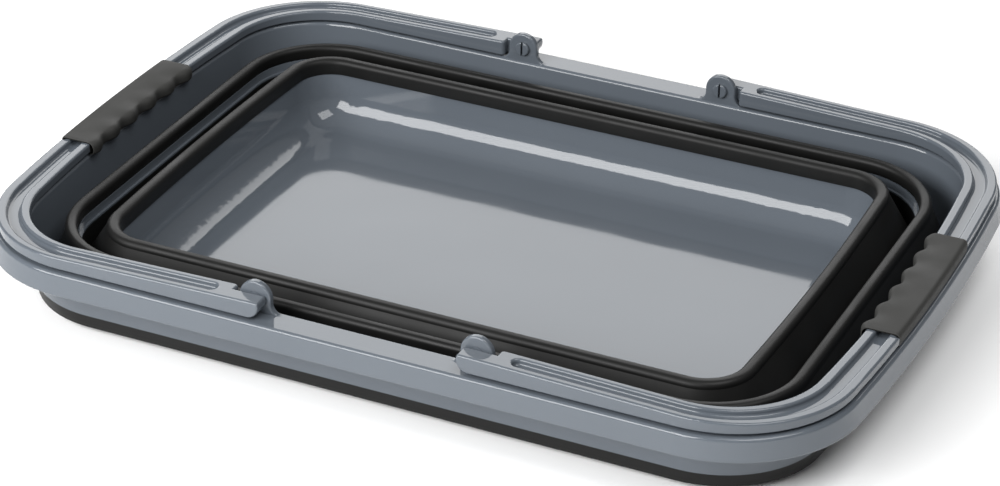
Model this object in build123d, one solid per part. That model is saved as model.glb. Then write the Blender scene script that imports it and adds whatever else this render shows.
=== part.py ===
from build123d import *
import os

# Folding foot basin, shown folded flat: a rim with two swing handles, a middle ring and a tray,
# joined by two soft fold bands. The origin is on the table under the middle of the tray,
# with +X along the long side and +Z up. All sizes are in millimetres.

# Overall sizes
overall_length = 460.0          # over the rim's skirt, along X
overall_width = 330.0           # over the rim's skirt, along Y
rim_top_z = 41.3                # rim's flange above the table, folded
corner_radius = 67.0            # plan corner of the skirt
end_bow = 10.0                  # how far the short sides bulge between their corners
wall_bow = 9.0                  # the same, on the rim's inner wall

# Rim
skirt_drop = 11.4               # flange top down to the skirt's lower edge
skirt_flare = 2.0               # skirt's lower edge outside its upper one
skirt_wall = 2.6
flange_wall = 3.0
flange_width_x = 17.5           # flange across the short sides
flange_width_y = 15.6           # flange across the long sides
rim_wall = 2.6
rim_depth = 37.9                # flange top down to the soft lower lip
rim_draft_x = 3.2               # how far the wall leans in over its depth
rim_draft_y = 4.9
flange_round = 1.8
skirt_round = 0.8

# Soft fold bands
band_skin = 1.2                 # membrane and bonded skins
band_cap = 1.4                  # cap round a ring's upper edge
lip_lap = 7.2                   # how far the upper band laps up the outside of the rim's wall
cap_lap = 6.8                   # how far each cap laps down the inside of its ring
cap_roundness = 0.42            # radius of a cap's two upper edges, as a share of its width
hinge_drop = 2.0                # where a membrane leaves its cap, below the cap's seat
lower_fold_skin = 1.5           # lower membrane at its foot, measured level
bond_clearance = 0.3            # between a cap and the ring that it caps, which is another body
fold_clearance = 0.1            # folded membrane to the ring wall beside it

# Middle ring
mid_gap_x = 14.0                # rim wall at its lower edge to the first bead, short sides
mid_gap_y = 8.8                 # the same, long sides
mid_corner = 48.0
mid_bow = 0.5
mid_bead_z = 37.6               # top of the first bead
mid_bead_width = 5.4
mid_ring_bottom_z = 11.0        # lowest point of the ring's soft lip
mid_draft = 1.2
mid_ledge_z = 26.4              # light ledge inside the ring
mid_ledge = 1.5                 # how far the ledge stands in
mid_ledge_height = 1.0

# Tray
tray_gap_x = 20.5               # first bead to second bead, outer edges, short sides
tray_gap_y = 16.9               # the same, long sides
tray_corner = 26.0
tray_inner_corner = 22.4        # inside corner under the bead
tray_corner_step = 2.0          # smaller at the floor, larger outside
tray_bow = 3.0
tray_bead_z = 38.6              # top of the second bead
tray_bead_width = 5.6
tray_floor_z = 4.0              # inside floor above the table
tray_floor_wall = 2.8
tray_wall = 2.8
tray_shoulder = 0.8             # extra wall under the bead
tray_draft = 4.8                # how far the inside wall leans in over its depth
tray_fillet = 18.0              # inside, wall to floor
foot_width = 6.0                # standing ring under the tray
recess_corner = 12.0            # corner of the hollow inside the standing ring

# Handles
pin_x = 57.3                    # pivot axis, each side of the middle
pin_rise = 7.6                  # pivot axis above the flange
ear_radius = 8.3
ear_wall = 3.6
ear_setback = 1.0               # ear's inner face behind the flange's inner edge
ear_flare = 5.0                 # concave flare at the ear's foot
ear_round = 1.0
stud_radius = 3.2
stud_clearance = 0.05           # radial running clearance in the ear
stud_head_radius = 4.0
stud_head = 1.5
stud_head_round = 0.9
stud_slot = 1.2
stud_slot_stop = 1.0            # end of the slot, inside the ear's outer face
side_clearance = 0.3            # arm to ear, and stud head to ear
handle_inset = 1.8              # handle's outer edge inside the flange's
handle_width = 13.9             # along the arms
handle_end_extra = 2.4          # how much wider it is round the short sides
handle_lift = 1.3               # underside above the flange
handle_top_at_pin = 10.0        # top above the flange, beside the pivots
handle_top_at_end = 6.0         # top above the flange, at the short sides
knuckle_radius = 6.3            # rounded end of each arm, about the pivot
nose_gap = 2.4                  # ear to the end of the inner ridge
ridge_outer = 4.0
ridge_inner = 3.8
groove_depth = 3.0
groove_setback = 8.4            # end of the inner ridge to the end of the groove
nose_round = 2.0                # end of the inner ridge, in plan
handle_top_round = 1.2
handle_bottom_round = 0.9

# Grips
grip_length = 101.0
grip_reach = 3.8                # grip's inner edge inside the handle's
grip_skin = 1.5                 # over the top and outer side of the handle
grip_under = 0.9                # under the handle
grip_proud = 0.3
grip_clearance = 0.1            # between the sleeve and the handle that it is moulded on
finger_count = 5
finger_pitch = 18.5
finger_radius = 15.0
finger_depth = 2.6

# Worked out from the sizes above
half_length = overall_length / 2
half_width = overall_width / 2
pin_z = rim_top_z + pin_rise
skirt_low_z = rim_top_z - skirt_drop
rim_lip_z = rim_top_z - rim_depth
rim_core_z = rim_lip_z + band_skin
rim_lap_z = rim_lip_z + lip_lap
flange_inner_x = skirt_flare + flange_width_x
flange_inner_y = skirt_flare + flange_width_y
seat = band_cap + bond_clearance
mid_core_top_z = mid_bead_z - seat
mid_core_bottom_z = mid_ring_bottom_z + band_skin
mid_lap_z = mid_ledge_z - mid_ledge_height
mid_inner = mid_bead_width + mid_ledge
tray_core_top_z = tray_bead_z - seat
mid_x = flange_inner_x + rim_draft_x + mid_gap_x
mid_y = flange_inner_y + rim_draft_y + mid_gap_y
tray_x = mid_x + tray_gap_x
tray_y = mid_y + tray_gap_y
mid_outline = (mid_x, mid_y, mid_corner, mid_bow)
tray_outline = (tray_x, tray_y, tray_corner, tray_bow)
handle_outer = skirt_flare + handle_inset
handle_inner = handle_outer + handle_width
ear_inner_y = half_width - flange_inner_y + ear_setback
ear_outer_y = ear_inner_y + ear_wall
arm_inner_y = ear_outer_y + side_clearance
nose_x = -pin_x - ear_radius - nose_gap
PAST = 1.0                      # how far a cut or a root runs past the face that it crosses
FAR = overall_length            # reach of the blocks that cut right across the part
SAME = 0.01                     # heights and radii closer than this are the same


def plan(z, inset_x, inset_y, corner, bow):
    """A rounded rectangle at height z, set in from the skirt, with bulging short sides."""
    x = half_length - inset_x
    y = half_width - inset_y
    outline = Wire([
        Line((-x + bow, y), (x - bow, y)),
        ThreePointArc((x - bow, y), (x, 0), (x - bow, -y)),
        Line((x - bow, -y), (-x + bow, -y)),
        ThreePointArc((-x + bow, -y), (-x, 0), (-x + bow, y)),
    ])
    face = make_face(outline)
    return Pos(0, 0, z) * fillet(face.vertices(), corner)


def tower(*sections):
    """A solid through several plans, with straight walls between them."""
    return loft([plan(*section) for section in sections], ruled=True)


def inside(outline, distance, z):
    """An outline (inset x, inset y, corner, bow) at height z, set in by distance."""
    inset_x, inset_y, corner, bow = outline
    return (z, inset_x + distance, inset_y + distance, corner - distance, bow)


def column(outline, distance, z0, z1):
    """A solid with upright walls between two heights, on an outline set in by distance."""
    return tower(inside(outline, distance, z0), inside(outline, distance, z1))


def slab(x0, x1, y0, y1, z0, z1):
    """A plain block between two corners."""
    return Pos((x0 + x1) / 2, (y0 + y1) / 2, (z0 + z1) / 2) * Box(x1 - x0, y1 - y0, z1 - z0)


def top_edges(solid):
    return solid.edges().group_by(Axis.Z)[-1]


def bottom_edges(solid):
    return solid.edges().group_by(Axis.Z)[0]


def skirt_at(z, inward):
    """The skirt's outer face at height z, or a surface inside it."""
    inset = (z - skirt_low_z) / skirt_drop * skirt_flare + inward
    return (z, inset, inset, corner_radius - inset, end_bow)


def rim_wall_at(z, out):
    """The rim wall's inner face at height z, or a surface outside it."""
    share = (rim_top_z - z) / rim_depth
    face = (
        flange_inner_x + share * rim_draft_x,
        flange_inner_y + share * rim_draft_y,
        corner_radius - flange_inner_y,
        wall_bow,
    )
    return inside(face, -out, z)


def rim_tower(z0, z1, out):
    return tower(rim_wall_at(z0, out), rim_wall_at(z1, out))


def bead(top_z, outline, width):
    """The cap over a ring's upper edge, rounded on top and open below for the ring."""
    low_z = top_z - cap_lap
    seat_z = top_z - band_cap
    roundness = width * cap_roundness
    block = column(outline, 0, low_z, top_z)
    cap = fillet(top_edges(block), roundness) - column(outline, width, low_z - PAST, top_z + PAST)
    cap = fillet(top_edges(cap), roundness)
    slot = column(outline, band_cap, low_z - PAST, seat_z)
    slot -= column(outline, width - band_cap, low_z - 2 * PAST, seat_z + PAST)
    return cap - slot


def ear(side_x, side_y):
    """A rounded lug on the flange, with a flared foot and the stud's bore."""
    foot = rim_top_z - PAST
    disc = Pos(pin_x, pin_z) * Circle(ear_radius)
    neck = Pos(pin_x, (foot + pin_z) / 2) * Rectangle(2 * ear_radius, pin_z - foot)
    outline = disc + neck
    for side in (-1, 1):
        edge = pin_x + side * ear_radius
        middle = edge + side * ear_flare / 2
        block = Pos(middle, rim_top_z + ear_flare / 2) * Rectangle(ear_flare, ear_flare)
        scoop = Pos(edge + side * ear_flare, rim_top_z + ear_flare) * Circle(ear_flare)
        root = Pos(middle, (foot + rim_top_z) / 2) * Rectangle(ear_flare, PAST)
        outline += (block - scoop) + root
    lug = Pos(0, ear_inner_y, 0) * (Plane.XZ * extrude(outline, -ear_wall))
    round_edges = [
        edge for edge in lug.edges()
        if edge.geom_type == GeomType.CIRCLE and abs(edge.radius - ear_radius) < SAME
    ]
    lug = fillet(round_edges, ear_round)
    bore = Cylinder(stud_radius + stud_clearance, ear_wall + 2 * PAST)
    lug -= Pos(pin_x, ear_inner_y + ear_wall / 2, pin_z) * Rot(90, 0, 0) * bore
    if side_x < 0:
        lug = mirror(lug, Plane.YZ)
    if side_y < 0:
        lug = mirror(lug, Plane.XZ)
    return lug


def make_rim():
    """The flange, its flared skirt and the inner wall, moulded in one with four ears."""
    shell = tower(skirt_at(skirt_low_z, 0), skirt_at(rim_top_z, 0))
    shell = fillet(top_edges(shell), flange_round)
    shell = fillet(bottom_edges(shell), skirt_round)
    shell -= tower(
        skirt_at(skirt_low_z - PAST, skirt_wall),
        skirt_at(rim_top_z - flange_wall, skirt_wall),
    )
    shell += rim_tower(rim_core_z, rim_top_z - PAST, rim_wall)
    shell -= rim_tower(rim_core_z - PAST, rim_top_z + PAST, 0)
    shell = fillet(top_edges(shell), flange_round)
    lap = rim_tower(rim_core_z - PAST, rim_lap_z, rim_wall + PAST)
    lap -= rim_tower(rim_core_z - 2 * PAST, rim_lap_z + PAST, rim_wall - band_skin)
    shell -= lap
    for side_x in (-1, 1):
        for side_y in (-1, 1):
            shell += ear(side_x, side_y)
    return shell


def make_upper_band():
    """The band between the rim's lower lip and the middle ring's upper edge, folded up."""
    lip = rim_tower(rim_lip_z, rim_lap_z, rim_wall)
    lip -= rim_tower(rim_core_z, rim_lap_z + PAST, rim_wall - band_skin)
    lip -= rim_tower(rim_lip_z - PAST, rim_core_z + PAST, -band_skin)
    hinge_z = mid_bead_z - band_cap - hinge_drop
    foot = rim_wall_at(rim_core_z, -fold_clearance)[1:]
    membrane = tower(inside(foot, 0, rim_lip_z), inside(mid_outline, 0, hinge_z))
    membrane -= tower(inside(foot, band_skin, rim_lip_z), inside(mid_outline, band_skin, hinge_z))
    return lip + membrane + bead(mid_bead_z, mid_outline, mid_bead_width)


def make_mid_ring():
    """The stiff ring between the two bands, with a small ledge inside."""
    cap_low_z = mid_bead_z - cap_lap
    bottom_z = mid_core_bottom_z - PAST
    ring = tower(
        inside(mid_outline, seat + mid_draft, mid_core_bottom_z),
        inside(mid_outline, seat, mid_core_top_z),
    )
    ring -= column(mid_outline, mid_bead_width - seat, cap_low_z - bond_clearance, mid_core_top_z + PAST)
    ring -= column(mid_outline, mid_bead_width, mid_ledge_z, cap_low_z)
    ring -= column(mid_outline, mid_inner, bottom_z, mid_ledge_z + PAST)
    return ring - column(mid_outline, mid_inner - band_skin, bottom_z, mid_lap_z)


def make_lower_band():
    """The band between the middle ring's lower lip and the tray's upper edge, folded up."""
    lining = mid_inner - band_skin
    lip = column(mid_outline, lining, mid_core_bottom_z, mid_lap_z)
    lip += column(mid_outline, seat + mid_draft, mid_ring_bottom_z, mid_core_bottom_z)
    lip -= column(mid_outline, mid_inner, mid_ring_bottom_z - PAST, mid_lap_z + PAST)
    hinge_z = tray_bead_z - band_cap - hinge_drop
    membrane = tower(inside(mid_outline, lining, mid_ring_bottom_z), inside(tray_outline, 0, hinge_z))
    membrane -= tower(
        inside(mid_outline, lining + lower_fold_skin, mid_ring_bottom_z),
        inside(tray_outline, band_cap, hinge_z),
    )
    return lip + membrane + bead(tray_bead_z, tray_outline, tray_bead_width)


def make_tray():
    """The tray that the feet stand in, on a low standing ring."""
    shoulder_z = tray_bead_z - cap_lap - bond_clearance
    face = (tray_x + tray_bead_width, tray_y + tray_bead_width, tray_inner_corner, tray_bow)
    outer_corner = tray_inner_corner + tray_corner_step
    shoulder = (*face[:2], outer_corner - tray_wall - tray_shoulder, tray_bow)
    floor = (*face[:2], tray_inner_corner - tray_corner_step + tray_draft, tray_bow)
    base = (*face[:2], tray_inner_corner + tray_draft - tray_wall, tray_bow)
    outer = tower(
        inside(base, tray_draft - tray_wall, 0),
        inside(shoulder, -tray_wall - tray_shoulder, shoulder_z),
    )
    outer = fillet(bottom_edges(outer), tray_fillet + tray_floor_wall)
    outer += column(tray_outline, seat, shoulder_z, tray_core_top_z)
    cavity = tower(inside(floor, tray_draft, tray_floor_z), inside(face, 0, shoulder_z))
    cavity = fillet(bottom_edges(cavity), tray_fillet)
    neck = column(tray_outline, tray_bead_width - seat, shoulder_z, tray_core_top_z + PAST)
    foot_inset = tray_draft + tray_wall + tray_fillet + foot_width
    foot = (*face[:2], recess_corner + foot_inset, tray_bow)
    recess = column(foot, foot_inset, -PAST, tray_floor_z - tray_floor_wall)
    return outer - cavity - neck - recess


def handle_top_wedge(drop):
    """Everything above the handle's sloping top, or above a surface drop below it."""
    top_pin = rim_top_z + handle_top_at_pin - drop
    top_end = rim_top_z + handle_top_at_end - drop
    slope = (top_pin - top_end) / (half_length - handle_outer - pin_x)
    profile = Polyline(
        (FAR, top_pin), (-pin_x, top_pin), (-FAR, top_pin - slope * (FAR - pin_x)),
        (-FAR, FAR), (FAR, FAR), close=True,
    )
    return Plane.XZ * extrude(make_face(profile), FAR, both=True)


def make_left_blank(swell):
    """The left handle's U-shaped arm with square edges and no groove, swollen all round by swell."""
    low = rim_top_z + handle_lift - swell
    high = rim_top_z + handle_top_at_pin + PAST
    skirt = (0, 0, corner_radius, end_bow)
    inner_skirt = (handle_end_extra, 0, corner_radius, end_bow)
    arm = column(skirt, handle_outer - swell, low, high)
    arm -= column(inner_skirt, handle_inner + swell, low - PAST, high + PAST)
    knuckle = Pos(-pin_x, 0, pin_z) * Rot(90, 0, 0) * Cylinder(knuckle_radius, FAR)
    arm -= slab(-pin_x, FAR, -FAR, FAR, 0, FAR) - knuckle
    arm -= slab(nose_x, FAR, -arm_inner_y, arm_inner_y, 0, FAR)
    arm -= handle_top_wedge(-swell)
    nose_edges = [
        edge for edge in arm.edges().filter_by(Axis.Z)
        if abs(edge.center().X - nose_x) < SAME and abs(edge.center().Y) < arm_inner_y - PAST
    ]
    arm = fillet(nose_edges, nose_round)
    return arm - grip_seat(low, high, swell)


def groove_cut():
    """The groove along the handle's top, with round ends behind each nose."""
    low = rim_top_z + handle_lift + PAST
    high = rim_top_z + handle_top_at_pin + 2 * PAST
    skirt = (handle_end_extra / 2, 0, corner_radius, end_bow)
    outer = handle_outer + ridge_outer
    inner = handle_inner - ridge_inner
    radius = (inner - outer) / 2
    end_x = nose_x - groove_setback - radius
    groove = column(skirt, outer, low, high) - column(skirt, inner, low - PAST, high + PAST)
    groove -= slab(end_x, FAR, -FAR, FAR, 0, FAR)
    for side in (-1, 1):
        end_y = side * (half_width - (outer + inner) / 2)
        groove += Pos(end_x, end_y, (low + high) / 2) * Cylinder(radius, high - low)
    return groove & handle_top_wedge(groove_depth)


def grip_seat(low, high, swell):
    """The step in the handle's outer side that the grip's skin fills."""
    skirt = (0, 0, corner_radius, end_bow)
    step = column(skirt, handle_outer - PAST, low - PAST, high)
    step -= column(skirt, handle_outer + grip_skin - swell, low - 2 * PAST, high + PAST)
    reach = grip_length / 2 - swell
    return step & slab(-FAR, 0, -reach, reach, 0, FAR)


def make_left_handle():
    """The blank with its edges rounded and a split snap stud at the end of each arm."""
    blank = make_left_blank(0) - groove_cut()
    rounded_above_z = rim_top_z + handle_top_at_end - grip_skin / 2
    top = [edge for edge in blank.edges() if edge.bounding_box().min.Z > rounded_above_z]
    arm = fillet(top, handle_top_round)
    underside_z = rim_top_z + handle_lift + SAME
    bottom = [edge for edge in arm.edges() if edge.bounding_box().max.Z < underside_z]
    arm = fillet(bottom, handle_bottom_round)
    stud = make_stud()
    return arm + stud + mirror(stud, Plane.XZ)


def make_stud():
    """The split stud that snaps through an ear, on the left handle's rear arm."""
    head_y = ear_inner_y - side_clearance
    reach = arm_inner_y - head_y
    turn = Rot(90, 0, 0)
    shaft = Pos(-pin_x, head_y + reach / 2, pin_z) * turn * Cylinder(stud_radius, reach)
    head = Pos(-pin_x, head_y - stud_head / 2, pin_z) * turn * Cylinder(stud_head_radius, stud_head)
    head = fillet(head.edges().filter_by(GeomType.CIRCLE).sort_by(Axis.Y)[0], stud_head_round)
    slot = slab(
        -pin_x - stud_slot / 2, -pin_x + stud_slot / 2,
        head_y - stud_head - PAST, ear_outer_y - stud_slot_stop,
        pin_z - stud_head_radius - PAST, pin_z + stud_head_radius + PAST,
    )
    return shaft + head - slot


def make_left_grip():
    """The soft sleeve on the middle of the handle, with finger hollows along its inner edge."""
    low = rim_top_z + handle_lift - grip_under
    high = rim_top_z + handle_top_at_end + grip_skin
    skirt = (0, 0, corner_radius, end_bow)
    inner = handle_inner + grip_reach
    inner_skirt = (handle_end_extra, 0, corner_radius, end_bow)
    grip = column(skirt, handle_outer - grip_proud, low, high)
    grip -= column(inner_skirt, inner, low - PAST, high + PAST)
    grip = grip & slab(-FAR, 0, -grip_length / 2, grip_length / 2, 0, FAR)
    finger_x = handle_end_extra + inner - half_length - finger_depth + finger_radius
    for finger in range(finger_count):
        y = (finger - (finger_count - 1) / 2) * finger_pitch
        grip -= Pos(finger_x, y, rim_top_z) * Cylinder(finger_radius, FAR)
    return grip - make_left_blank(grip_clearance)


left_handle = make_left_handle()
left_grip = make_left_grip()
pieces = {
    "rim_frame": make_rim(),
    "upper_fold_band": make_upper_band(),
    "mid_ring": make_mid_ring(),
    "lower_fold_band": make_lower_band(),
    "base_tray": make_tray(),
    "handle_left": left_handle,
    "grip_left": left_grip,
    "handle_right": mirror(left_handle, Plane.YZ),
    "grip_right": mirror(left_grip, Plane.YZ),
}
os.makedirs("parts", exist_ok=True)
for name, piece in pieces.items():
    piece.label = name
    export_step(piece, f"parts/{name}.step")
    print(name, len(piece.solids()), round(piece.volume / 1000, 1), "cm3", piece.is_valid)
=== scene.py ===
import math
import bpy
import bmesh
from mathutils import Matrix, Vector


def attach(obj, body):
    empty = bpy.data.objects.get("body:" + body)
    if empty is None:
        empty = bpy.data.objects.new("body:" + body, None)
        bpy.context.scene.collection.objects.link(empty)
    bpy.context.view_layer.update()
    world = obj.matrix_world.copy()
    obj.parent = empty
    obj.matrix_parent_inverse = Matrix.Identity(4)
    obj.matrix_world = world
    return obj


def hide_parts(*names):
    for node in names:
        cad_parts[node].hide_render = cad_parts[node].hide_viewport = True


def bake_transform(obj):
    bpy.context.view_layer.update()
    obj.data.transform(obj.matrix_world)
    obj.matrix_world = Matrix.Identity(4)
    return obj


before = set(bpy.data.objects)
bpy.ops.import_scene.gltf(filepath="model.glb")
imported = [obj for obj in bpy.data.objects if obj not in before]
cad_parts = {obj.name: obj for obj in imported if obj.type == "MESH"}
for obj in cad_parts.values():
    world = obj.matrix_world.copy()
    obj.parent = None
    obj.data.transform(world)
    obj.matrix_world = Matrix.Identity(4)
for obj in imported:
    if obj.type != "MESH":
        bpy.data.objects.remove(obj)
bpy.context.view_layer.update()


# ---------------------------------------------------------------------------
# The hard mouldings: rim with its ears, middle ring, tray and the two handles.
# The real ones are injection moulded in one grey polypropylene, left as they come from a
# polished mould. The frame's own meshes have their shapes, so they only take the finish.

def linear(hex_colour):
    """An sRGB hex colour as linear red, green, blue and alpha."""
    shares = [int(hex_colour[place:place + 2], 16) / 255 for place in (1, 3, 5)]
    return [s / 12.92 if s <= 0.04045 else ((s + 0.055) / 1.055) ** 2.4 for s in shares] + [1.0]


def add_node(material, kind, sockets=None, **settings):
    """Adds one shader node. Each socket takes a value, or a link from another node's output."""
    made = material.node_tree.nodes.new(kind)
    for name, value in settings.items():
        setattr(made, name, value)
    for name, value in (sockets or {}).items():
        if isinstance(value, bpy.types.NodeSocket):
            material.node_tree.links.new(value, made.inputs[name])
        else:
            made.inputs[name].default_value = value
    return made


def per_mm(size):
    """A noise scale that gives patches of this size in millimetres."""
    return 1000 / size


polypropylene = bpy.data.materials.new("Moulded grey polypropylene, polished mould")
polypropylene.use_nodes = True
pp_shader = polypropylene.node_tree.nodes["Principled BSDF"]
pp_links = polypropylene.node_tree.links
pp_place = add_node(polypropylene, "ShaderNodeTexCoord").outputs["Object"]
# pigment flow: broad patches, a little lighter and darker, as masterbatch leaves them
pp_flow = add_node(polypropylene, "ShaderNodeTexNoise", {
    "Vector": pp_place, "Scale": per_mm(70), "Detail": 2.0})
pp_colour = add_node(polypropylene, "ShaderNodeMix", data_type="RGBA")
pp_links.new(pp_flow.outputs["Fac"], pp_colour.inputs[0])
pp_colour.inputs[6].default_value = linear("#545A61")
pp_colour.inputs[7].default_value = linear("#5A6067")
pp_links.new(pp_colour.outputs[2], pp_shader.inputs["Base Color"])
# handling haze: the gloss is a little duller in patches of a few centimetres
pp_haze = add_node(polypropylene, "ShaderNodeTexNoise", {
    "Vector": pp_place, "Scale": per_mm(24), "Detail": 4.0})
pp_gloss = add_node(polypropylene, "ShaderNodeMapRange", {
    "Value": pp_haze.outputs["Fac"], "From Min": 0.3, "From Max": 0.7, "To Min": 0.06, "To Max": 0.09})
pp_links.new(pp_gloss.outputs["Result"], pp_shader.inputs["Roughness"])
# sink: wide hollows a few hundredths of a millimetre deep, which make reflections swim a little
pp_sink = add_node(polypropylene, "ShaderNodeTexNoise", {
    "Vector": pp_place, "Scale": per_mm(30), "Detail": 0.0})
pp_wave = add_node(polypropylene, "ShaderNodeBump", {
    "Height": pp_sink.outputs["Fac"], "Strength": 1.0, "Distance": 0.00008})
# skin: the finest grain, drawn at 0.7 mm so that it shows close up
pp_skin = add_node(polypropylene, "ShaderNodeTexNoise", {
    "Vector": pp_place, "Scale": per_mm(0.7), "Detail": 2.0})
pp_bump = add_node(polypropylene, "ShaderNodeBump", {
    "Height": pp_skin.outputs["Fac"], "Strength": 1.0, "Distance": 0.0000015,
    "Normal": pp_wave.outputs["Normal"]})
pp_links.new(pp_bump.outputs["Normal"], pp_shader.inputs["Normal"])
pp_shader.inputs["IOR"].default_value = 1.5

for name in ("rim_frame", "mid_ring", "base_tray", "handle_left", "handle_right"):
    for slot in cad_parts[name].material_slots:
        slot.material = polypropylene


# ---------------------------------------------------------------------------
# The upper fold band, between the rim and the middle ring.
# A soft black thermoplastic elastomer moulded onto both: a lip round the rim's lower edge,
# a thin membrane that turns inside out as the rim lifts, and a rounded cap over the ring.

HALF_LENGTH = 230.0             # over the rim's skirt, in millimetres like every size below
HALF_WIDTH = 165.0
SIDE_STEPS = 12                 # points along half a short side
CORNER_STEPS = 16               # round a corner
LONG_STEPS = 16                 # along half a long side


def outline(height, inset_x, inset_y, corner, bow):
    """Points in metres round a rounded rectangle, set in from the skirt, with bulging short sides."""
    half_x = HALF_LENGTH - inset_x
    half_y = HALF_WIDTH - inset_y
    side_radius = (half_y ** 2 + bow ** 2) / (2 * bow)
    side_centre = half_x - side_radius
    corner_y = half_y - corner
    corner_x = side_centre + math.sqrt((side_radius - corner) ** 2 - corner_y ** 2)
    turn = math.asin(corner_y / (side_radius - corner))
    quarter = []
    for step in range(SIDE_STEPS):
        angle = turn * step / SIDE_STEPS
        quarter.append((side_centre + side_radius * math.cos(angle), side_radius * math.sin(angle)))
    for step in range(CORNER_STEPS):
        angle = turn + (math.pi / 2 - turn) * step / CORNER_STEPS
        quarter.append((corner_x + corner * math.cos(angle), corner_y + corner * math.sin(angle)))
    for step in range(LONG_STEPS + 1):
        quarter.append((corner_x * (1 - step / LONG_STEPS), half_y))
    back = quarter[::-1]
    points = quarter[:-1] + [(-x, y) for x, y in back[:-1]]
    points += [(-x, -y) for x, y in quarter[:-1]] + [(x, -y) for x, y in back[:-1]]
    return [Vector((x, y, height)) / 1000 for x, y in points]


def make_tube(name, loops, angle=35):
    """A closed piece: a ring of edges at the first loop, extruded from loop to loop and joined up."""
    bpy.ops.object.select_all(action="DESELECT")
    bpy.ops.mesh.primitive_circle_add(vertices=len(loops[0]), radius=0.1)
    piece = bpy.context.object
    piece.name = name
    piece.data.name = name
    for vertex, point in zip(piece.data.vertices, loops[0]):
        vertex.co = point
    bpy.ops.object.mode_set(mode="EDIT")
    bpy.ops.mesh.select_all(action="SELECT")
    place = {index: index for index in range(len(loops[0]))}
    for loop in loops[1:]:
        bpy.ops.mesh.extrude_edges_move()
        mesh = bmesh.from_edit_mesh(piece.data)
        moved = {}
        for vertex in mesh.verts:
            if vertex.select:
                beside = [edge.other_vert(vertex) for edge in vertex.link_edges]
                old = next(other for other in beside if not other.select)
                moved[vertex.index] = place[old.index]
                vertex.co = loop[place[old.index]]
        place = moved
        bmesh.update_edit_mesh(piece.data)
    mesh = bmesh.from_edit_mesh(piece.data)
    for edge in mesh.edges:
        edge.select_set(edge.is_boundary)
    bpy.ops.mesh.bridge_edge_loops()
    bpy.ops.mesh.select_all(action="SELECT")
    bpy.ops.mesh.normals_make_consistent(inside=False)
    bpy.ops.object.mode_set(mode="OBJECT")
    bpy.ops.object.shade_smooth_by_angle(angle=math.radians(angle))
    return piece


def inward(section, height, distance):
    """A section (inset_x, inset_y, corner, bow) at a height, set in by a distance."""
    inset_x, inset_y, corner, bow = section
    return (height, inset_x + distance, inset_y + distance, corner - distance, bow)


def between(first, second, share):
    """A section part of the way from one (height, insets, corner, bow) to another."""
    return tuple(a + (b - a) * share for a, b in zip(first, second))


def arc(across, height, radius, start, stop, steps):
    """Points (across, height) round an edge, by angles in degrees from inward, anticlockwise."""
    angles = [math.radians(start + (stop - start) * step / steps) for step in range(steps + 1)]
    return [(across + radius * math.cos(a), height + radius * math.sin(a)) for a in angles]


elastomer = bpy.data.materials.new("Moulded black thermoplastic elastomer, satin")
elastomer.use_nodes = True
tpe_shader = elastomer.node_tree.nodes["Principled BSDF"]
tpe_links = elastomer.node_tree.links
tpe_place = add_node(elastomer, "ShaderNodeTexCoord").outputs["Object"]
# bloom: a faint greyish film in soft patches, where the rubber has been touched and folded
tpe_bloom = add_node(elastomer, "ShaderNodeTexNoise", {
    "Vector": tpe_place, "Scale": per_mm(30), "Detail": 4.0})
tpe_colour = add_node(elastomer, "ShaderNodeMix", data_type="RGBA")
tpe_links.new(tpe_bloom.outputs["Fac"], tpe_colour.inputs[0])
tpe_colour.inputs[6].default_value = linear("#0E0E0E")
tpe_colour.inputs[7].default_value = linear("#141413")
tpe_links.new(tpe_colour.outputs[2], tpe_shader.inputs["Base Color"])
tpe_gloss = add_node(elastomer, "ShaderNodeMapRange", {
    "Value": tpe_bloom.outputs["Fac"], "From Min": 0.3, "From Max": 0.7, "To Min": 0.42, "To Max": 0.54})
tpe_links.new(tpe_gloss.outputs["Result"], tpe_shader.inputs["Roughness"])
# spark-eroded mould grain, 0.5 mm across, which turns highlights satin
tpe_grain = add_node(elastomer, "ShaderNodeTexNoise", {
    "Vector": tpe_place, "Scale": per_mm(0.5), "Detail": 2.0})
tpe_bump = add_node(elastomer, "ShaderNodeBump", {
    "Height": tpe_grain.outputs["Fac"], "Strength": 1.0, "Distance": 0.000012})
tpe_links.new(tpe_bump.outputs["Normal"], tpe_shader.inputs["Normal"])
tpe_shader.inputs["IOR"].default_value = 1.5
tpe_shader.inputs["Specular IOR Level"].default_value = 0.25


def make_lip(name, wall, low, high, thickness, skin):
    """The L-shaped lip bonded round a wall's lower edge, from wall(height, out)."""
    edge = 0.9                  # radius of the lip's lower edges
    points = [(thickness, high), (thickness, low + edge)]
    points += arc(thickness - edge, low + edge, edge, 0, -90, 5)[1:]
    points += arc(-skin + edge, low + edge, edge, -90, -180, 5)
    points += [(-skin, low + skin), (thickness - skin, low + skin), (thickness - skin, high)]
    return make_tube(name, [outline(*wall(height, out)) for out, height in points])


RIM_TOP = 41.3                  # the flange above the table
RIM_LIP = 3.4                   # lowest point of the rim's soft lip
RIM_LAP = 10.6                  # how high the lip laps up the outside of the wall
RIM_WALL = 2.6
RIM_FACE = (19.5, 17.6)         # the wall's inner face at the flange, in from the skirt
RIM_DRAFT = (3.2, 4.9)          # how far it leans in by the lip
RIM_CORNER = 49.4
RIM_BOW = 9.0
BAND_SKIN = 1.2                 # membrane and bonded skins


def rim_wall(height, out):
    """The rim wall's inner face at a height, or a surface outside it."""
    share = (RIM_TOP - height) / (RIM_TOP - RIM_LIP)
    inset_x, inset_y = (face + draft * share - out for face, draft in zip(RIM_FACE, RIM_DRAFT))
    return (height, inset_x, inset_y, RIM_CORNER + out, RIM_BOW)


upper_lip = make_lip("upper_band_lip", rim_wall, RIM_LIP, RIM_LAP, RIM_WALL, BAND_SKIN)


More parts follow.
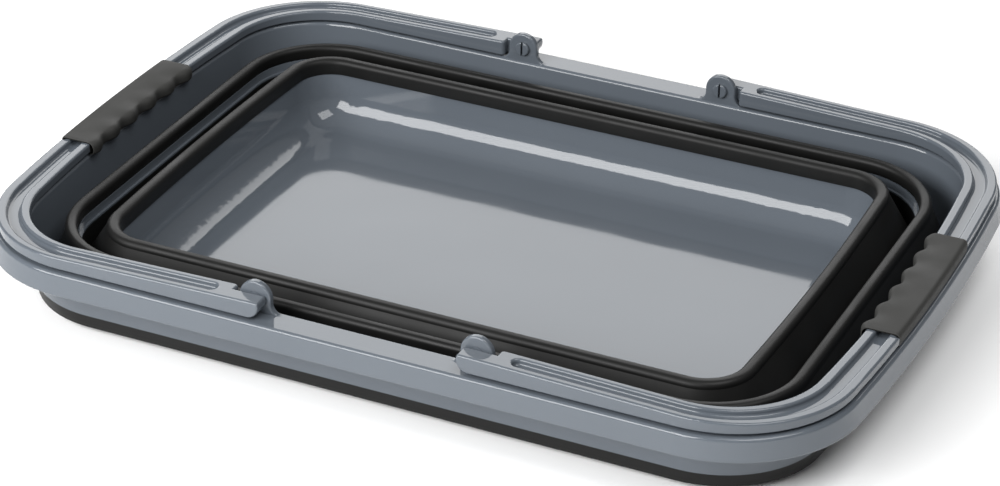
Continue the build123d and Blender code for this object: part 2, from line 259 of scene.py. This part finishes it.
def make_cap(name, section, top, reach, slot, laps):
    """The rounded cap over a ring's edge, hollow below where the ring stands in it."""
    outer, inner = reach
    slot_outer, slot_inner = slot
    low, inner_low = top - laps[0], top - laps[1]
    seat = top - CAP
    crown = (inner - outer) * CAP_ROUND
    foot = 0.4                  # radius of the inner leg's lower edge
    points = [(outer, low)] + arc(outer + crown, top - crown, crown, 180, 90, 8)
    points += arc(inner - crown, top - crown, crown, 90, 0, 8)
    points += arc(inner - foot, inner_low + foot, foot, 0, -90, 3)
    points += [(slot_inner, inner_low), (slot_inner, seat), (slot_outer, seat), (slot_outer, low)]
    return make_tube(name, [outline(*inward(section, height, across)) for across, height in points])


CAP = 1.4                       # the cap's skin over the ring's edge
CAP_LAP = 6.8                   # how far it reaches down the ring
CAP_ROUND = 0.42                # radius of its two upper edges, as a share of its width
MID_BEAD = (36.7, 31.3, 48.0, 0.5)      # in from the skirt's ends and sides, corner, bow
MID_BEAD_TOP = 37.6
MID_BEAD_SIDES = (-0.8, 5.4)    # the cap's outer and inner sides, in from that outline
MID_BEAD_SLOT = (CAP, 4.0)      # where the ring's edge stands in it
upper_cap = make_cap(
    "upper_band_cap", MID_BEAD, MID_BEAD_TOP, MID_BEAD_SIDES, MID_BEAD_SLOT, (CAP_LAP, CAP_LAP))


def make_membrane(name, low, high, skin):
    """A membrane skin thick between two sections (height, insets, corner, bow)."""
    rings = 40                  # rows of faces, so that it turns inside out smoothly
    outside = [between(low, high, step / rings) for step in range(rings + 1)]
    inside = [(z, x + skin, y + skin, corner - skin, bow) for z, x, y, corner, bow in outside[::-1]]
    return make_tube(name, [outline(*section) for section in outside + inside])


HINGE_DROP = 2.0                # where a membrane leaves its cap, below the cap's skin
UPPER_FOOT = 0.4                # the membrane's lower edge above the lip's
UPPER_FOLD_GAP = 0.1            # the folded membrane to the rim's wall
MID_HINGE = MID_BEAD_TOP - CAP - HINGE_DROP
upper_membrane = make_membrane(
    "upper_band_membrane", rim_wall(RIM_LIP + UPPER_FOOT, -UPPER_FOLD_GAP),
    (MID_HINGE, *MID_BEAD), BAND_SKIN)

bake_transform(upper_membrane)
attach(upper_lip, "rim")
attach(upper_cap, "mid_ring")
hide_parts("upper_fold_band")
for piece in (upper_lip, upper_membrane, upper_cap):
    piece.data.materials.append(elastomer)


# ---------------------------------------------------------------------------
# The lower fold band, between the middle ring and the tray.
# The same elastomer and the same three parts: a lip lining the ring's lower half, a membrane
# and a cap over the tray's edge, a little wider and higher than the one on the ring.

MID_LIP = 11.0                  # lowest point of the middle ring's soft lip
MID_CORE = (38.4, 33.0, 46.3, 0.5)      # the ring's outer face, measured as its bead is
MID_DRAFT = 1.2                 # how far that face leans in by its lower edge
MID_INNER = 5.2                 # from it to the soft lining's inner face
LINING_TOP = 25.4


def make_lining(name, section, low, high, thickness, skin, draft):
    """The lip round the middle ring's lower edge and up its inside."""
    edge = 0.5                  # radius of its lower edges
    points = [(draft, low + skin), (draft, low + edge)]
    points += arc(draft + edge, low + edge, edge, 180, 270, 3)[1:]
    points += arc(thickness - edge, low + edge, edge, -90, 0, 3)
    points += [(thickness, high), (thickness - skin, high), (thickness - skin, low + skin)]
    return make_tube(name, [outline(*inward(section, height, across)) for across, height in points])


lower_lip = make_lining("lower_band_lip", MID_CORE, MID_LIP, LINING_TOP, MID_INNER, BAND_SKIN, MID_DRAFT)

TRAY_BEAD = (57.2, 48.2, 26.0, 3.0)
TRAY_BEAD_TOP = 38.6
TRAY_BEAD_SIDES = (0, 7.0)
TRAY_BEAD_SLOT = (CAP, 4.2)
TRAY_LAP = 8.6                  # how far the cap reaches down the inside of the tray
lower_cap = make_cap(
    "lower_band_cap", TRAY_BEAD, TRAY_BEAD_TOP, TRAY_BEAD_SIDES, TRAY_BEAD_SLOT, (CAP_LAP, TRAY_LAP))

LOWER_FOOT = 0.3                # the membrane's lower edge above the lip's
LOWER_SKIN = 1.3
TRAY_HINGE = TRAY_BEAD_TOP - CAP - HINGE_DROP
lower_membrane = make_membrane(
    "lower_band_membrane", inward(MID_CORE, MID_LIP + LOWER_FOOT, MID_INNER - BAND_SKIN),
    (TRAY_HINGE, *TRAY_BEAD), LOWER_SKIN)

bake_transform(lower_membrane)
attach(lower_lip, "mid_ring")
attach(lower_cap, "base_tray")
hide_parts("lower_fold_band")
for piece in (lower_lip, lower_membrane, lower_cap):
    piece.data.materials.append(elastomer)


# ---------------------------------------------------------------------------
# The hand grips, one on the middle of each handle.
# A sleeve of soft matt rubber moulded round the handle, with finger hollows that run in from
# its inner edge over the top, and square ends under which the handle's groove goes on.

END_BOW = 10.0                  # how far the skirt's short sides bulge
GRIP_OUTER = 3.5                # sleeve's outer side, in from the skirt
GRIP_INNER = 23.9
GRIP_LOW = 41.7
GRIP_TOP = 48.8
GRIP_HALF = 50.5                # half its length
GRIP_RUNOUT = 5                 # over how much of each end the hollows fade
GRIP_PINCH = 1.4                # how far the inner side draws in at each end
BORE_SIDES = (5.3, 20.1)        # the handle inside it, in from the skirt
BORE_HEIGHTS = (42.6, 47.7)
FINGER_PITCH = 18.5
FINGER_DEPTH = 2.6
FINGER_DIP = 0.6                # the hollows' depth in the top, as a share of that in the side
FINGER_FROM = 10.0              # where the hollows start on the top, in from the skirt
GRIP_STATIONS = 84              # cross-sections along the sleeve

rubber = bpy.data.materials.new("Moulded charcoal grip rubber, matt")
rubber.use_nodes = True
rubber_shader = rubber.node_tree.nodes["Principled BSDF"]
rubber_links = rubber.node_tree.links
rubber_place = add_node(rubber, "ShaderNodeTexCoord").outputs["Object"]
# palm polish: patches a finger wide that are lighter and drier than the rest
rubber_patch = add_node(rubber, "ShaderNodeTexNoise", {
    "Vector": rubber_place, "Scale": per_mm(22), "Detail": 3.0})
rubber_colour = add_node(rubber, "ShaderNodeMix", data_type="RGBA")
rubber_links.new(rubber_patch.outputs["Fac"], rubber_colour.inputs[0])
rubber_colour.inputs[6].default_value = linear("#272726")
rubber_colour.inputs[7].default_value = linear("#31312F")
rubber_links.new(rubber_colour.outputs[2], rubber_shader.inputs["Base Color"])
rubber_dry = add_node(rubber, "ShaderNodeMapRange", {
    "Value": rubber_patch.outputs["Fac"], "From Min": 0.3, "From Max": 0.7, "To Min": 0.58, "To Max": 0.72})
rubber_links.new(rubber_dry.outputs["Result"], rubber_shader.inputs["Roughness"])
# mould grain of 0.6 mm, deep enough to break up every highlight
rubber_grain = add_node(rubber, "ShaderNodeTexNoise", {
    "Vector": rubber_place, "Scale": per_mm(0.6), "Detail": 3.0})
rubber_bump = add_node(rubber, "ShaderNodeBump", {
    "Height": rubber_grain.outputs["Fac"], "Strength": 1.0, "Distance": 0.00003})
rubber_links.new(rubber_bump.outputs["Normal"], rubber_shader.inputs["Normal"])
rubber_shader.inputs["IOR"].default_value = 1.5
rubber_shader.inputs["Specular IOR Level"].default_value = 0.35


def short_side(inset, y):
    """Where the handle's bulging end is at y, for an outline set in by inset."""
    half_y = HALF_WIDTH - inset
    radius = (half_y ** 2 + END_BOW ** 2) / (2 * END_BOW)
    return HALF_LENGTH - inset - (radius - math.sqrt(radius ** 2 - y ** 2))


def grip_section(y, swell):
    """The sleeve's outside at y as points (inset, height), swollen or shrunk by swell."""
    hollow = 0.5 + 0.5 * math.cos(2 * math.pi * y / FINGER_PITCH)
    hollow *= FINGER_DEPTH * min(1.0, max(0.0, (GRIP_HALF - abs(y)) / GRIP_RUNOUT))
    taper = max(0.0, 1 - (GRIP_HALF - abs(y)) / GRIP_RUNOUT) ** 2
    low, high = GRIP_LOW - swell, GRIP_TOP + swell
    outer, inner = GRIP_OUTER - swell, GRIP_INNER - GRIP_PINCH * taper + swell
    top_outer, top_inner, under = 2.4, 3.3, 1.6     # radii of the edges
    points = arc(outer + top_outer, high - top_outer, top_outer, 180, 90, 7)
    steps = 14
    left, right = outer + top_outer, inner - top_inner
    points += [(left + (right - left) * s / steps, high) for s in range(1, steps)]
    points += arc(inner - top_inner, high - top_inner, top_inner, 90, 0, 9)
    points += arc(inner - under, low + under, under, 0, -90, 5)
    points += [(inner - under + (outer - inner + 2 * under) * s / 8, low) for s in range(1, 8)]
    points += arc(outer + under, low + under, under, -90, -180, 5)
    shaped = []
    for inset, height in points:
        reach = min(1.0, max(0.0, (inset - FINGER_FROM) / (inner - FINGER_FROM)))
        dent = hollow * reach ** 3
        on_top = height > GRIP_LOW + 3
        dip = FINGER_DIP * hollow * reach ** 1.5 if on_top else 0.0
        shaped.append((inset - dent, height - dip))
    return shaped


def sleeve_bore(count):
    """The sleeve's inside, round the handle, as count points (inset, height)."""
    outer, inner = BORE_SIDES
    low, high = BORE_HEIGHTS
    middle, centre = (outer + inner) / 2, (low + high) / 2
    points = []
    for inset, height in grip_section(0, 0)[:count]:
        across, up = inset - (GRIP_OUTER + GRIP_INNER) / 2, height - (GRIP_LOW + GRIP_TOP) / 2
        across /= (GRIP_INNER - GRIP_OUTER) / 2
        up /= (GRIP_TOP - GRIP_LOW) / 2
        stretch = 1 / max(abs(across), abs(up))
        inset = middle + across * stretch * (inner - outer) / 2
        points.append((inset, centre + up * stretch * (high - low) / 2))
    return points


def sleeve_loop(side, y, section):
    return [Vector((side * short_side(inset, y), y, height)) / 1000 for inset, height in section]


def make_grip(name, side):
    stations = [GRIP_HALF * (2 * step / GRIP_STATIONS - 1) for step in range(GRIP_STATIONS + 1)]
    round_end, break_edge = 0.5, 0.15       # how much smaller the square ends close
    loops = [sleeve_loop(side, -GRIP_HALF, grip_section(-GRIP_HALF, -round_end))]
    loops += [sleeve_loop(side, -GRIP_HALF + break_edge, grip_section(-GRIP_HALF, -break_edge))]
    loops += [sleeve_loop(side, y, grip_section(y, 0)) for y in stations[1:-1]]
    loops += [sleeve_loop(side, GRIP_HALF - break_edge, grip_section(GRIP_HALF, -break_edge))]
    loops += [sleeve_loop(side, GRIP_HALF, grip_section(GRIP_HALF, -round_end))]
    bore = sleeve_bore(len(loops[0]))
    inside = stations[::-6]     # the bore is straight, so every sixth cross-section is enough
    loops += [sleeve_loop(side, y, bore) for y in inside]
    return make_tube(name, loops, 40)


for name, body, node, side in (
        ("finger_grip_left", "handle_left", "grip_left", -1),
        ("finger_grip_right", "handle_right", "grip_right", 1)):
    grip = make_grip(name, side)
    grip.data.materials.append(rubber)
    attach(grip, body)
    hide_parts(node)


# ---------------------------------------------------------------------------
# The table top it stands on, a plain pale sheet, and the soft light of a small studio.

bpy.ops.object.select_all(action="DESELECT")
bpy.ops.mesh.primitive_plane_add(size=12, location=(0, 0, 0))
floor = bpy.context.object
floor.name = "floor"
bpy.ops.object.transform_apply(location=True, rotation=True, scale=True)
floor_paint = bpy.data.materials.new("Matt white painted board")
floor_paint.use_nodes = True
floor_shader = floor_paint.node_tree.nodes["Principled BSDF"]
floor_shader.inputs["Base Color"].default_value = linear("#FFFFFF")
floor_shader.inputs["Roughness"].default_value = 0.9
floor.data.materials.append(floor_paint)

world = bpy.data.worlds.new("Pale studio")
world.use_nodes = True
world.node_tree.nodes["Background"].inputs["Color"].default_value = linear("#FFFFFF")
world.node_tree.nodes["Background"].inputs["Strength"].default_value = 0.2
bpy.context.scene.world = world
bpy.context.scene.view_settings.view_transform = "Standard"


def add_softbox(name, place, aim, size_x, size_y, power):
    """A flat soft light at place, facing aim."""
    light = bpy.data.lights.new(name, "AREA")
    light.shape = "RECTANGLE"
    light.size = size_x
    light.size_y = size_y
    light.energy = power
    box = bpy.data.objects.new(name, light)
    bpy.context.scene.collection.objects.link(box)
    box.location = place
    box.rotation_euler = (Vector(aim) - Vector(place)).to_track_quat("-Z", "Y").to_euler()
    return box


add_softbox("overhead softbox", (0.8, -0.3, 1.7), (0, 0, 0), 1.2, 0.9, 17)
add_softbox("front softbox", (-0.55, -1.2, 0.8), (0, 0, 0.03), 1.5, 0.8, 36)
add_softbox("back panel", (-1.0, 2.2, 1.25), (0, 0, 0.05), 2.8, 1.5, 36)


# ---------------------------------------------------------------------------
# The camera looks down on the long side from a little to the left.

AZIMUTH = math.radians(24.57)
ELEVATION = math.radians(28.99)
ROLL = math.radians(0.88)
DISTANCE = 1.631
LENS = 117.65
SLIDE_RIGHT = -0.0011
SLIDE_UP = -0.0217

right = Vector((math.cos(AZIMUTH), math.sin(AZIMUTH), 0))
up = Vector((
    -math.sin(AZIMUTH) * math.sin(ELEVATION), math.cos(AZIMUTH) * math.sin(ELEVATION), math.cos(ELEVATION)))
back = Vector((
    math.sin(AZIMUTH) * math.cos(ELEVATION), -math.cos(AZIMUTH) * math.cos(ELEVATION), math.sin(ELEVATION)))
eye = Vector((0, 0, RIM_TOP / 1000)) + back * DISTANCE + right * SLIDE_RIGHT + up * SLIDE_UP
across = math.cos(ROLL) * right + math.sin(ROLL) * up
upward = -math.sin(ROLL) * right + math.cos(ROLL) * up
camera_data = bpy.data.cameras.new("camera")
camera_data.lens = LENS
camera_data.sensor_width = 36
camera = bpy.data.objects.new("camera", camera_data)
bpy.context.scene.collection.objects.link(camera)
camera.matrix_world = Matrix((
    (across.x, upward.x, back.x, eye.x),
    (across.y, upward.y, back.y, eye.y),
    (across.z, upward.z, back.z, eye.z),
    (0, 0, 0, 1)))
bpy.context.scene.camera = camera
